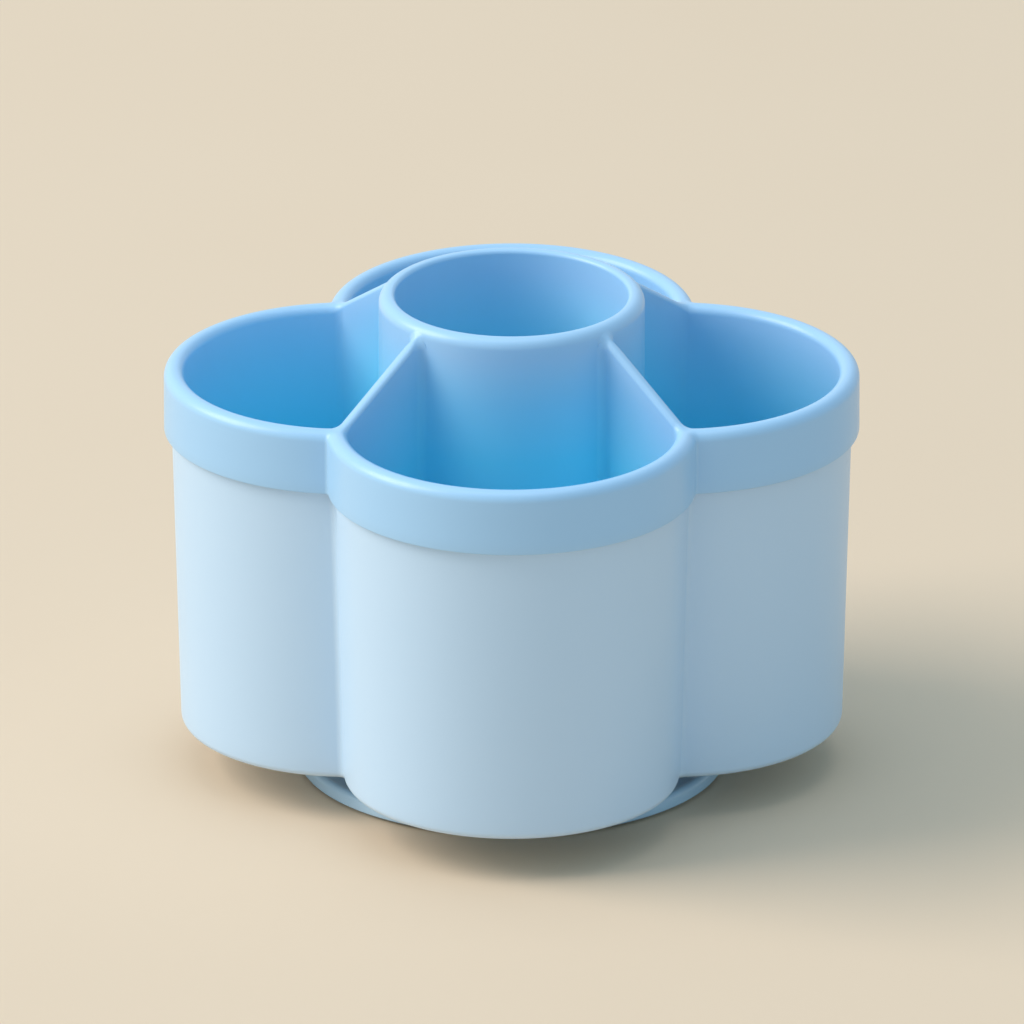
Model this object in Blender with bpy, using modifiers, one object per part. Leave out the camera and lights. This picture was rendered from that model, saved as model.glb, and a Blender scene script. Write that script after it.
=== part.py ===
"""Rotating desk organizer: four petal-shaped cells round a raised cup, on a ball-bearing foot.

Metres, +Z up. The origin is on the turning axis at the height of the table top.
One petal points to each of +X, +Y, -X and -Y, and a divider stands on each diagonal.
"""
import math

import bmesh
import bpy
from mathutils import Matrix

# Clearances and overlaps shared by all pieces
FIT_GAP = 0.0003          # between two pieces that rest on or in each other
SINK = 0.0006             # how far a joined solid runs into the one that carries it
OVERRUN = 0.0050          # how far a cutter passes the face that it opens
MERGE = 0.00001           # points closer than this on a turned seam are one

# Petals seen from above
PETAL_COUNT = 4
PETAL_OFFSET = 0.0400     # turning axis to the centre of a petal
BAND_RADIUS = 0.0450      # outside of the rim band, from the petal's centre
BAND_VALLEY_ROUND = 0.0012
TUB_VALLEY_ROUND = 0.0020

# Heights over the table
RIM_HEIGHT = 0.1033
CUP_HEIGHT = 0.1226
TUB_CLEARANCE = 0.0110    # under the tub

# Rim band and lip of the liner
BAND_DEPTH = 0.0160
BAND_WALL = 0.0016
LIP_THICKNESS = 0.0030    # plastic over the tub's top edge
LIP_OUTER_ROUND = 0.0026
LIP_INNER_ROUND = 0.0013
BAND_HEM_ROUND = 0.0004   # broken edge along the band's lower end

# Tub
TUB_WALL = 0.0014
TUB_FLOOR = 0.0016
TUB_DRAFT = 0.0021        # radius lost between the band and the tub's underside
TUB_FOOT_ROUND = 0.0020

# Cells and dividers of the liner
LINER_WALL = 0.0013
LINER_FLOOR = 0.0016
CELL_FLOOR_ROUND = 0.0015
CELL_CORNER_ROUND = 0.0032
DIVIDER_THICKNESS = 0.0030
DIVIDER_DRAFT = 0.0004    # what a divider's face gains between the rim and the floor
DIVIDER_TOP_SKIN = 0.00015
DIVIDER_RUN = 0.0250      # level distance that a divider's sloping top covers
DIVIDER_CUP_DROP = 0.0046  # from the cup's lip down to where a divider's slope meets it
DIVIDER_CUP_ROUND = 0.0042  # hollow round from the slope up to the cup
DIVIDER_RIM_ROUND = 0.0100  # hollow round from the slope out to the rim

# Cup in the middle of the liner
CUP_RADIUS = 0.0325
CUP_WALL = 0.0040
CUP_DRAFT = 0.0010
CUP_OUTER_ROUND = 0.0018
CUP_INNER_ROUND = 0.0013
CUP_FLOOR_ROUND = 0.0020

# Base dish
PAD_PROUD = 0.0008        # how far the pads stand out under the dish
DISH_RADIUS = 0.0525
DISH_FLOOR = 0.0016
DISH_RIM_HEIGHT = 0.0036
DISH_RIM_WALL = 0.0030
DISH_EDGE_ROUND = 0.0005
DISH_INNER_ROUND = 0.0010
DISH_RIB_COUNT = 6
DISH_RIB_WALL = 0.0014
DISH_RIB_HEIGHT = 0.0020

# Rubber pads
PAD_COUNT = 4
PAD_CIRCLE = 0.0420
PAD_RADIUS = 0.0055
PAD_THICKNESS = 0.0012
PAD_CHAMFER = 0.0003

# Ball race
BALL_COUNT = 12
BALL_RADIUS = 0.0025
RACE_RADIUS = 0.0300
RACE_HALF_WIDTH = 0.0040
RACE_LAND_HEIGHT = 0.0028  # lower land over the dish's floor
BALL_STAND = 0.0015        # ball's centre over the lower land, and under the upper one
CAGE_HALF_WIDTH = 0.0044
CAGE_THICKNESS = 0.0016

# Pivot, its washer and its screw
PIVOT_RADIUS = 0.0043
COLLAR_WALL = 0.0028
COLLAR_GAP = 0.0014        # collar to the tub's underside
HUB_RADIUS = 0.0110
HUB_RECESS_RADIUS = 0.0088
WASHER_RADIUS = 0.0070
WASHER_THICKNESS = 0.0009
SCREW_RADIUS = 0.0015
SCREW_LENGTH = 0.0090
SCREW_HEAD_RADIUS = 0.0032
SCREW_HEAD_HEIGHT = 0.0014
SCREW_HEAD_ROUND = 0.0006
SCREW_SETBACK = 0.0002     # head above the dish's underside
SCREW_SLOT_WIDTH = 0.0008
SCREW_SLOT_LENGTH = 0.0036
SCREW_SLOT_DEPTH = 0.0009
SCREW_POINT = 0.0008

# Facets
PETAL_STEPS = 16
VALLEY_STEPS = 3
CORNER_STEPS = 4
CUP_SIDE_STEPS = 6
ROUND_STEPS = 3
GROOVE_STEPS = 4
TURN_STEPS = 40
SMALL_TURN_STEPS = 24
BALL_SEGMENTS = 10
BALL_RINGS = 6

# Radii and heights that follow
DIAGONAL = math.sqrt(0.5)
QUARTER = math.pi / 2
TUB_RADIUS = BAND_RADIUS - BAND_WALL - FIT_GAP
BAND_FOOT = RIM_HEIGHT - BAND_DEPTH
CHANNEL_TOP = RIM_HEIGHT - LIP_THICKNESS
TUB_TOP = CHANNEL_TOP - FIT_GAP
TUB_FLOOR_TOP = TUB_CLEARANCE + TUB_FLOOR
LINER_UNDERSIDE = TUB_FLOOR_TOP + FIT_GAP
CELL_FLOOR = LINER_UNDERSIDE + LINER_FLOOR
DISH_UNDERSIDE = PAD_PROUD
DISH_TOP = DISH_UNDERSIDE + DISH_FLOOR
RIM_TOP = DISH_UNDERSIDE + DISH_RIM_HEIGHT
LOWER_LAND = DISH_TOP + RACE_LAND_HEIGHT
BALL_HEIGHT = LOWER_LAND + BALL_STAND
UPPER_LAND = BALL_HEIGHT + BALL_STAND
GROOVE_RADIUS = BALL_RADIUS + FIT_GAP
BORE_RADIUS = PIVOT_RADIUS + FIT_GAP
SCREW_HEAD_TOP = DISH_UNDERSIDE + SCREW_SETBACK + SCREW_HEAD_HEIGHT
WASHER_BOTTOM = SCREW_HEAD_TOP + FIT_GAP
PIVOT_END = WASHER_BOTTOM + WASHER_THICKNESS + FIT_GAP
HUB_CEILING = PIVOT_END + FIT_GAP
HUB_TOP = HUB_CEILING + DISH_FLOOR
COLLAR_TOP = TUB_CLEARANCE - COLLAR_GAP
SCREW_TIP = SCREW_HEAD_TOP + SCREW_LENGTH


def clear_scene():
    for item in list(bpy.data.objects):
        bpy.data.objects.remove(item, do_unlink=True)


def collection(name):
    group = bpy.data.collections.new(name)
    bpy.context.scene.collection.children.link(group)
    return group


def linear(hex_colour):
    """Linear colour of an sRGB hex value."""
    shares = [int(hex_colour[i:i + 2], 16) / 255 for i in (0, 2, 4)]
    return [c / 12.92 if c <= 0.04045 else ((c + 0.055) / 1.055) ** 2.4 for c in shares] + [1.0]


def material(name, hex_colour, roughness, metallic=0.0):
    finish = bpy.data.materials.new(name)
    finish.use_nodes = True
    shader = finish.node_tree.nodes["Principled BSDF"]
    shader.inputs["Base Color"].default_value = linear(hex_colour)
    shader.inputs["Roughness"].default_value = roughness
    shader.inputs["Metallic"].default_value = metallic
    return finish


# Outlines and profiles

def arc(centre, radius, start, end, steps):
    """Points on a circle from one angle to another, both ends included."""
    angles = [start + (end - start) * i / steps for i in range(steps + 1)]
    return [(centre[0] + radius * math.cos(a), centre[1] + radius * math.sin(a)) for a in angles]


def turned_about_axis(points, angle):
    c, s = math.cos(angle), math.sin(angle)
    return [(x * c - y * s, x * s + y * c) for x, y in points]


def petal_outline(radius, valley_round):
    """Four petals of one radius, with a round of another radius in each valley between them."""
    half = PETAL_OFFSET * DIAGONAL
    reach = half + math.sqrt((radius + valley_round) ** 2 - half ** 2)
    valley = (reach * DIAGONAL, reach * DIAGONAL)
    turn = math.atan2(valley[1], valley[0] - PETAL_OFFSET)
    petal = arc((PETAL_OFFSET, 0), radius, -turn, turn, PETAL_STEPS)
    hollow = arc(valley, valley_round, math.pi + turn, 3 * QUARTER - turn, VALLEY_STEPS)
    quarter = petal + hollow[1:-1]
    outline = []
    for k in range(PETAL_COUNT):
        outline += turned_about_axis(quarter, k * QUARTER)
    return outline


def cell_outline(radius, half_divider, inner_radius):
    """One cell on +X: petal wall, rounded corners, two divider faces and the side to the cup."""
    beside = half_divider + CELL_CORNER_ROUND
    half = PETAL_OFFSET * DIAGONAL
    along = half + math.sqrt((radius - CELL_CORNER_ROUND) ** 2 - (beside - half) ** 2)
    corner = ((along + beside) * DIAGONAL, (along - beside) * DIAGONAL)
    turn = math.atan2(corner[1], corner[0] - PETAL_OFFSET)
    face = 3 * math.pi / 4
    side = math.pi / 4 - math.asin(half_divider / inner_radius)
    petal = arc((PETAL_OFFSET, 0), radius, -turn, turn, PETAL_STEPS)
    upper = arc(corner, CELL_CORNER_ROUND, turn, face, CORNER_STEPS)
    inner = arc((0, 0), inner_radius, side, -side, CUP_SIDE_STEPS)
    lower = arc((corner[0], -corner[1]), CELL_CORNER_ROUND, -face, -turn, CORNER_STEPS)
    return petal + upper[1:] + inner + lower[:-1]


def draft_loss(height):
    """Radius that the drafted walls have lost at a height: nothing behind the band, all at the foot."""
    share = (BAND_FOOT - height) / (BAND_FOOT - TUB_CLEARANCE)
    return TUB_DRAFT * min(max(share, 0), 1)


def level(outline, height):
    return [(x, y, height) for x, y in outline]


# Solids

def place(name, mesh, finish, group):
    part = bpy.data.objects.new(name, mesh)
    if finish:
        mesh.materials.append(finish)
    group.objects.link(part)
    return part


def smooth(mesh, angle=math.radians(35)):
    mesh.shade_smooth()
    mesh.set_sharp_from_angle(angle=angle)


def loft(name, sections, finish, group):
    """A closed solid through sections that have the same number of points."""
    shape = bmesh.new()
    loops = [[shape.verts.new(point) for point in section] for section in sections]
    for below, above in zip(loops, loops[1:]):
        for i in range(len(below)):
            j = (i + 1) % len(below)
            shape.faces.new((below[i], below[j], above[j], above[i]))
    shape.faces.new(list(reversed(loops[0])))
    shape.faces.new(loops[-1])
    mesh = bpy.data.meshes.new(name)
    shape.to_mesh(mesh)
    shape.free()
    smooth(mesh)
    return place(name, mesh, finish, group)


def turned(name, profile, finish, group, steps=TURN_STEPS):
    """A profile of (radius, height) points turned about Z, closed unless it ends on the axis."""
    points = [(r, 0, z) for r, z in profile]
    edges = [(i, i + 1) for i in range(len(points) - 1)]
    if profile[0][0] > 0:
        edges.append((len(points) - 1, 0))
    mesh = bpy.data.meshes.new(name)
    mesh.from_pydata(points, edges, [])
    part = place(name, mesh, finish, group)
    screw = part.modifiers.new("Turn", "SCREW")
    screw.steps = steps
    screw.render_steps = steps
    screw.use_merge_vertices = True
    screw.merge_threshold = MERGE
    screw.use_smooth_shade = True
    return part


def boolean(part, tool, operation):
    """Joins a tool to a part, or cuts it away, and keeps the tool as a wire guide."""
    modifier = part.modifiers.new(tool.name, "BOOLEAN")
    modifier.operation = operation
    modifier.solver = "EXACT"
    modifier.object = tool
    tool.hide_render = True
    tool.display_type = "WIRE"


def boxes(name, sizes, matrices, group):
    """Boxes of one size, one for each matrix, in a single guide."""
    shape = bmesh.new()
    for matrix in matrices:
        bmesh.ops.create_cube(shape, size=1, matrix=matrix @ Matrix.Diagonal((*sizes, 1)))
    mesh = bpy.data.meshes.new(name)
    shape.to_mesh(mesh)
    shape.free()
    return place(name, mesh, None, group)


def rods(name, radius, low, high, places, group):
    """Upright round rods in a single guide."""
    shape = bmesh.new()
    for x, y in places:
        bmesh.ops.create_cone(
            shape, cap_ends=True, segments=SMALL_TURN_STEPS, radius1=radius, radius2=radius,
            depth=high - low, matrix=Matrix.Translation((x, y, (low + high) / 2)))
    mesh = bpy.data.meshes.new(name)
    shape.to_mesh(mesh)
    shape.free()
    return place(name, mesh, None, group)


def plate(name, outlines, low, high, finish, group):
    """A flat plate between two heights, with its outer outline first and its holes after it."""
    shape = bpy.data.curves.new(name, "CURVE")
    shape.dimensions = "2D"
    shape.fill_mode = "BOTH"
    shape.extrude = (high - low) / 2
    for outline in outlines:
        spline = shape.splines.new("POLY")
        spline.points.add(len(outline) - 1)
        for point, (x, y) in zip(spline.points, outline):
            point.co = (x, y, 0, 1)
        spline.use_cyclic_u = True
    part = bpy.data.objects.new(name, shape)
    part.location.z = (low + high) / 2
    if finish:
        shape.materials.append(finish)
    group.objects.link(part)
    return part


def circle(centre, radius, steps):
    return arc(centre, radius, 0, 2 * math.pi, steps)[:-1]


def ring_of_places(radius, count, start=0.0):
    angles = [start + 2 * math.pi * k / count for k in range(count)]
    return [(radius * math.cos(a), radius * math.sin(a)) for a in angles]


# Outer tub

def tub_wall(height, depth):
    """Outline of the tub at a height, at a depth inside its outer face."""
    radius = TUB_RADIUS - draft_loss(height) - depth
    return level(petal_outline(radius, TUB_VALLEY_ROUND + depth), height)


def tub_shell(finish, parts):
    sections = []
    for i in range(ROUND_STEPS):
        angle = QUARTER * i / ROUND_STEPS
        height = TUB_CLEARANCE + TUB_FOOT_ROUND * (1 - math.cos(angle))
        sections.append(tub_wall(height, TUB_FOOT_ROUND * (1 - math.sin(angle))))
    for height in (TUB_CLEARANCE + TUB_FOOT_ROUND, BAND_FOOT, TUB_TOP):
        sections.append(tub_wall(height, 0))
    return loft("outer_tub", sections, finish, parts)


def tub_hollow(tools):
    low = TUB_FLOOR_TOP + TUB_FOOT_ROUND - TUB_WALL
    sections = [
        tub_wall(TUB_FLOOR_TOP, TUB_FOOT_ROUND),
        tub_wall(low, TUB_WALL),
        tub_wall(BAND_FOOT, TUB_WALL),
        tub_wall(TUB_TOP + OVERRUN, TUB_WALL),
    ]
    return loft("tub_hollow", sections, None, tools)


def tub_race(tools):
    """Ring under the tub's floor whose groove rides on the balls."""
    inner = RACE_RADIUS - RACE_HALF_WIDTH
    outer = RACE_RADIUS + RACE_HALF_WIDTH
    dip = math.asin(BALL_STAND / GROOVE_RADIUS)
    groove = arc((RACE_RADIUS, BALL_HEIGHT), GROOVE_RADIUS, dip, math.pi - dip, GROOVE_STEPS)
    top = TUB_CLEARANCE + SINK
    profile = [(outer, top), (outer, UPPER_LAND), *groove, (inner, UPPER_LAND), (inner, top)]
    return turned("tub_race", profile, None, tools)


def tub_pivot(tools):
    """Hollow pivot that turns in the dish's collar and takes the screw."""
    pilot = SCREW_RADIUS + FIT_GAP
    pilot_top = SCREW_TIP + FIT_GAP
    top = TUB_CLEARANCE + SINK
    body = turned("tub_pivot", [(0, top), (PIVOT_RADIUS, top), (PIVOT_RADIUS, PIVOT_END), (0, PIVOT_END)],
                  None, tools, SMALL_TURN_STEPS)
    hole = rods("tub_pilot_hole", pilot, PIVOT_END - OVERRUN, pilot_top, [(0, 0)], tools)
    return body, hole


def outer_tub(finish, parts, tools):
    tub = tub_shell(finish, parts)
    boolean(tub, tub_hollow(tools), "DIFFERENCE")
    boolean(tub, tub_race(tools), "UNION")
    pivot, pilot = tub_pivot(tools)
    boolean(tub, pivot, "UNION")
    boolean(tub, pilot, "DIFFERENCE")
    return tub


# Cell liner

def liner_wall(height):
    """Outline of the liner's own wall, one gap inside the tub."""
    return tub_wall(height, TUB_WALL + FIT_GAP)


def band_wall(height, depth):
    return level(petal_outline(BAND_RADIUS - depth, BAND_VALLEY_ROUND + depth), height)


def liner_blank(finish, parts):
    """Floor, wall, channel over the tub's edge, band and lip, before the cells are sunk."""
    foot = TUB_FOOT_ROUND + FIT_GAP
    low = LINER_UNDERSIDE + TUB_FOOT_ROUND - TUB_WALL
    sections = [
        tub_wall(LINER_UNDERSIDE, foot + FIT_GAP),
        liner_wall(low + FIT_GAP),
        liner_wall(BAND_FOOT),
        liner_wall(CHANNEL_TOP),
        band_wall(CHANNEL_TOP, BAND_WALL),
        band_wall(BAND_FOOT, BAND_WALL),
        band_wall(BAND_FOOT, BAND_HEM_ROUND),
        band_wall(BAND_FOOT + BAND_HEM_ROUND, 0),
    ]
    for i in range(ROUND_STEPS + 1):
        angle = QUARTER * i / ROUND_STEPS
        height = RIM_HEIGHT - LIP_OUTER_ROUND * (1 - math.sin(angle))
        sections.append(band_wall(height, LIP_OUTER_ROUND * (1 - math.cos(angle))))
    return loft("cell_liner", sections, finish, parts)


def cell_section(height, spread):
    """Outline of a cell at a height, spread outwards at the petal wall."""
    loss = draft_loss(height)
    radius = TUB_RADIUS - TUB_WALL - FIT_GAP - LINER_WALL - loss + spread
    half = DIVIDER_THICKNESS / 2 + DIVIDER_DRAFT * loss / TUB_DRAFT
    return level(cell_outline(radius, half + max(-spread, 0), CUP_RADIUS - CUP_WALL / 2), height)


def cell_cutter(index, tools):
    sections = [
        cell_section(CELL_FLOOR, -CELL_FLOOR_ROUND),
        cell_section(CELL_FLOOR + CELL_FLOOR_ROUND, 0),
        cell_section(BAND_FOOT, 0),
    ]
    for i in range(ROUND_STEPS + 1):
        angle = QUARTER * i / ROUND_STEPS
        height = RIM_HEIGHT - LIP_INNER_ROUND * (1 - math.sin(angle))
        sections.append(cell_section(height, LIP_INNER_ROUND * (1 - math.cos(angle))))
    sections.append(cell_section(CUP_HEIGHT + OVERRUN, LIP_INNER_ROUND))
    cutter = loft(f"cell_cutter_{index + 1}", sections, None, tools)
    cutter.rotation_euler.z = index * QUARTER
    return cutter


def divider_line():
    """Top of a divider along its diagonal: out of the cup's wall, down the slope, level at the rim."""
    outer = CUP_RADIUS + DIVIDER_RUN
    rise = CUP_HEIGHT - DIVIDER_CUP_DROP - RIM_HEIGHT
    lean = math.atan2(rise, DIVIDER_RUN)
    down = 3 * QUARTER
    reach = CUP_RADIUS + DIVIDER_CUP_ROUND
    height = RIM_HEIGHT + (outer - reach) * rise / DIVIDER_RUN + DIVIDER_CUP_ROUND / math.cos(lean)
    cup_round = arc((reach, height), DIVIDER_CUP_ROUND, math.pi, down - lean, ROUND_STEPS)
    rim_middle = (outer + DIVIDER_RIM_ROUND * math.tan(lean / 2), RIM_HEIGHT + DIVIDER_RIM_ROUND)
    rim_round = arc(rim_middle, DIVIDER_RIM_ROUND, down - lean, down, ROUND_STEPS)
    return [(CUP_RADIUS - CUP_WALL / 2, height), *cup_round, *rim_round]


def divider_top(index, tools):
    """Round-topped bar under a divider's top line, one for each diagonal."""
    half = DIVIDER_THICKNESS / 2 + DIVIDER_TOP_SKIN
    sections = []
    for reach, top in divider_line():
        foot = min(CHANNEL_TOP + SINK, top - half - SINK)
        outline = arc((0, top - half), half, 0, math.pi, 2 * ROUND_STEPS) + [(-half, foot), (half, foot)]
        sections.append([(reach, y, z) for y, z in outline])
    bar = loft(f"divider_top_{index + 1}", sections, None, tools)
    bar.rotation_euler.z = math.pi / 4 + index * QUARTER
    return bar


def cup_body(tools):
    low = LINER_UNDERSIDE + SINK
    lip = arc((CUP_RADIUS - CUP_OUTER_ROUND, CUP_HEIGHT - CUP_OUTER_ROUND), CUP_OUTER_ROUND,
              QUARTER, 0, ROUND_STEPS)
    return turned("cup_body", [(0, CUP_HEIGHT), *lip, (CUP_RADIUS, low), (0, low)], None, tools)


def cup_bore(tools):
    """Inside of the cup: rounded floor edge, slight taper and a lip that opens outwards."""
    mouth = CUP_RADIUS - CUP_WALL
    foot = mouth - CUP_DRAFT
    lip = arc((mouth + CUP_INNER_ROUND, CUP_HEIGHT - CUP_INNER_ROUND), CUP_INNER_ROUND,
              QUARTER, math.pi, ROUND_STEPS)
    floor = arc((foot - CUP_FLOOR_ROUND, CELL_FLOOR + CUP_FLOOR_ROUND), CUP_FLOOR_ROUND,
                0, -QUARTER, ROUND_STEPS)
    top = CUP_HEIGHT + OVERRUN
    profile = [(0, top), (mouth + CUP_INNER_ROUND, top), *lip, *floor, (0, CELL_FLOOR)]
    return turned("cup_bore", profile, None, tools)


def cell_liner(finish, parts, tools):
    liner = liner_blank(finish, parts)
    for k in range(PETAL_COUNT):
        boolean(liner, divider_top(k, tools), "UNION")
    for k in range(PETAL_COUNT):
        boolean(liner, cell_cutter(k, tools), "DIFFERENCE")
    boolean(liner, cup_body(tools), "UNION")
    boolean(liner, cup_bore(tools), "DIFFERENCE")
    return liner


# Base dish

def dish_profile():
    """Section of the dish from its rim down the outside, under the hub and back over the top."""
    rim_round = DISH_RIM_WALL / 2
    rim_middle = DISH_RADIUS - rim_round
    rim_inner = DISH_RADIUS - DISH_RIM_WALL
    land_in = RACE_RADIUS - RACE_HALF_WIDTH
    land_out = RACE_RADIUS + RACE_HALF_WIDTH
    dip = math.asin(BALL_STAND / GROOVE_RADIUS)
    rim = arc((rim_middle, RIM_TOP - rim_round), rim_round, math.pi, 0, 2 * ROUND_STEPS)
    edge = arc((DISH_RADIUS - DISH_EDGE_ROUND, DISH_UNDERSIDE + DISH_EDGE_ROUND), DISH_EDGE_ROUND,
               0, -QUARTER, 2)
    groove = arc((RACE_RADIUS, BALL_HEIGHT), GROOVE_RADIUS, math.pi + dip, 2 * math.pi - dip,
                 GROOVE_STEPS)
    inner = arc((rim_inner - DISH_INNER_ROUND, DISH_TOP + DISH_INNER_ROUND), DISH_INNER_ROUND,
                -QUARTER, 0, 2)
    under = [(HUB_RECESS_RADIUS, DISH_UNDERSIDE), (HUB_RECESS_RADIUS, HUB_CEILING),
             (BORE_RADIUS, HUB_CEILING)]
    collar = [(BORE_RADIUS, COLLAR_TOP), (BORE_RADIUS + COLLAR_WALL, COLLAR_TOP),
              (BORE_RADIUS + COLLAR_WALL, HUB_TOP)]
    hub = [(HUB_RADIUS, HUB_TOP), (HUB_RADIUS, DISH_TOP)]
    race = [(land_in, DISH_TOP), (land_in, LOWER_LAND), *groove, (land_out, LOWER_LAND),
            (land_out, DISH_TOP)]
    return rim + edge + under + collar + hub + race + inner


def dish_ribs(tools):
    """Radial ribs between the hub and the race."""
    inner = HUB_RADIUS - SINK
    outer = RACE_RADIUS - RACE_HALF_WIDTH + SINK
    height = DISH_RIB_HEIGHT + SINK
    middle = Matrix.Translation(((inner + outer) / 2, 0, DISH_TOP - SINK + height / 2))
    turns = [Matrix.Rotation(2 * math.pi * k / DISH_RIB_COUNT, 4, "Z") for k in range(DISH_RIB_COUNT)]
    return boxes("dish_ribs", (outer - inner, DISH_RIB_WALL, height), [t @ middle for t in turns], tools)


def pad_recesses(tools):
    ceiling = PAD_THICKNESS + FIT_GAP
    places = ring_of_places(PAD_CIRCLE, PAD_COUNT, math.pi / PAD_COUNT)
    return rods("pad_recesses", PAD_RADIUS + FIT_GAP, DISH_UNDERSIDE - OVERRUN, ceiling, places, tools)


def base_dish(finish, parts, tools):
    dish = turned("base_dish", dish_profile(), finish, parts)
    boolean(dish, dish_ribs(tools), "UNION")
    boolean(dish, pad_recesses(tools), "DIFFERENCE")
    return dish


def foot_pads(finish, parts):
    """Rubber discs with a chamfered lower edge, set into the recesses."""
    profile = [(0, PAD_THICKNESS), (PAD_RADIUS, PAD_THICKNESS), (PAD_RADIUS, PAD_CHAMFER),
               (PAD_RADIUS - PAD_CHAMFER, 0), (0, 0)]
    pads = []
    for k, (x, y) in enumerate(ring_of_places(PAD_CIRCLE, PAD_COUNT, math.pi / PAD_COUNT)):
        pad = turned(f"foot_pad_{k + 1}", profile, finish, parts, SMALL_TURN_STEPS)
        pad.location = (x, y, 0)
        pads.append(pad)
    return pads


# Ball race

def ball_cage(finish, parts):
    """Flat ring with a round window for each ball."""
    outer = circle((0, 0), RACE_RADIUS + CAGE_HALF_WIDTH, TURN_STEPS)
    inner = circle((0, 0), RACE_RADIUS - CAGE_HALF_WIDTH, TURN_STEPS)
    windows = [circle(p, GROOVE_RADIUS, BALL_SEGMENTS) for p in ring_of_places(RACE_RADIUS, BALL_COUNT)]
    low = BALL_HEIGHT - CAGE_THICKNESS / 2
    return plate("ball_cage", [outer, inner, *windows], low, low + CAGE_THICKNESS, finish, parts)


def balls(finish, parts):
    shape = bmesh.new()
    bmesh.ops.create_uvsphere(shape, u_segments=BALL_SEGMENTS, v_segments=BALL_RINGS, radius=BALL_RADIUS)
    mesh = bpy.data.meshes.new("ball")
    shape.to_mesh(mesh)
    shape.free()
    mesh.shade_smooth()
    mesh.materials.append(finish)
    made = []
    for k, (x, y) in enumerate(ring_of_places(RACE_RADIUS, BALL_COUNT)):
        ball = bpy.data.objects.new(f"ball_{k + 1}", mesh)
        ball.location = (x, y, BALL_HEIGHT)
        parts.objects.link(ball)
        made.append(ball)
    return made


# Pivot hardware

def pivot_washer(finish, parts):
    hole = SCREW_RADIUS + FIT_GAP
    outlines = [circle((0, 0), WASHER_RADIUS, SMALL_TURN_STEPS), circle((0, 0), hole, BALL_SEGMENTS)]
    return plate("pivot_washer", outlines, WASHER_BOTTOM, WASHER_BOTTOM + WASHER_THICKNESS, finish, parts)


def screw_slots(tools):
    """Crossed slots in the underside of the screw's head."""
    low = SCREW_HEAD_TOP - SCREW_HEAD_HEIGHT
    height = SCREW_SLOT_DEPTH + OVERRUN
    middle = Matrix.Translation((0, 0, low + SCREW_SLOT_DEPTH - height / 2))
    made = []
    for k in range(2):
        turn = Matrix.Rotation(k * QUARTER, 4, "Z")
        made.append(boxes(f"screw_slot_{k + 1}", (SCREW_SLOT_LENGTH, SCREW_SLOT_WIDTH, height),
                          [turn @ middle], tools))
    return made


def pivot_screw(finish, parts, tools):
    low = SCREW_HEAD_TOP - SCREW_HEAD_HEIGHT
    head = arc((SCREW_HEAD_RADIUS - SCREW_HEAD_ROUND, low + SCREW_HEAD_ROUND), SCREW_HEAD_ROUND,
               0, -QUARTER, 2)
    profile = [(0, SCREW_TIP), (SCREW_RADIUS - SCREW_POINT, SCREW_TIP),
               (SCREW_RADIUS, SCREW_TIP - SCREW_POINT), (SCREW_RADIUS, SCREW_HEAD_TOP),
               (SCREW_HEAD_RADIUS, SCREW_HEAD_TOP), *head, (0, low)]
    screw = turned("pivot_screw", profile, finish, parts, SMALL_TURN_STEPS)
    for slot in screw_slots(tools):
        boolean(screw, slot, "DIFFERENCE")
    return screw


# Assembly

def axis_empty(name, parts):
    """Empty on the turning axis that carries the pieces which turn together."""
    empty = bpy.data.objects.new(name, None)
    parts.objects.link(empty)
    return empty


def hang(pieces, carrier):
    for piece in pieces:
        piece.parent = carrier


def main():
    clear_scene()
    parts = collection("rotating_organizer")
    tools = collection("cutters")
    sky = material("sky blue polypropylene", "A6CBEC", 0.42)
    pale = material("pale blue polypropylene", "CFE2EF", 0.45)
    nylon = material("natural nylon", "E6E4DA", 0.5)
    steel = material("ball steel", "B9BBBD", 0.18, 1.0)
    zinc = material("zinc plated steel", "A9ABAE", 0.35, 1.0)
    rubber = material("grey rubber", "5B6166", 0.8)

    base = axis_empty("base_frame", parts)
    ring = axis_empty("ball_ring_axis", parts)
    table = axis_empty("turntable_axis", parts)
    hang([base_dish(sky, parts, tools), *foot_pads(rubber, parts)], base)
    hang([ball_cage(nylon, parts), *balls(steel, parts)], ring)
    hang([outer_tub(pale, parts, tools), cell_liner(sky, parts, tools),
          pivot_washer(zinc, parts), pivot_screw(zinc, parts, tools)], table)


main()
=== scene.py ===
"""Looks of a rotating desk organizer: four petal-shaped cells round a raised cup, on a turning foot.

New pieces are grids of points worked out with numpy, in metres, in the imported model's own frame:
+Z up, the turning axis on Z and the table top at Z = 0. A row of a grid is one outline, and a
column runs from the top of a wall to its floor.
"""

import math

import bmesh
import bpy
import numpy as np
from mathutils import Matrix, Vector


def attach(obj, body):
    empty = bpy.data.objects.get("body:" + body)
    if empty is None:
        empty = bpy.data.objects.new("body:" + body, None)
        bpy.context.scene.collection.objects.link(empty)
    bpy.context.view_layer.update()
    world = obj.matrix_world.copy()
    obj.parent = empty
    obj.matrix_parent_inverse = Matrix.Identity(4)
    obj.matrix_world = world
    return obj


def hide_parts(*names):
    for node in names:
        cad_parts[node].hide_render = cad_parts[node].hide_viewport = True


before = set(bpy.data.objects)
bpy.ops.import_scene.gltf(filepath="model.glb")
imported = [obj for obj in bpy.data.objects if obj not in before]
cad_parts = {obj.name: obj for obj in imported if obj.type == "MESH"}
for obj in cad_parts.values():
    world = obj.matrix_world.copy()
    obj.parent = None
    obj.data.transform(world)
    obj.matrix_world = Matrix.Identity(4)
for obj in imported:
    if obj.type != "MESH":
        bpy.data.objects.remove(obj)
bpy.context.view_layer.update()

# Clearance between two pieces that rest on or in each other
FIT_GAP = 0.0003

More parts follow.
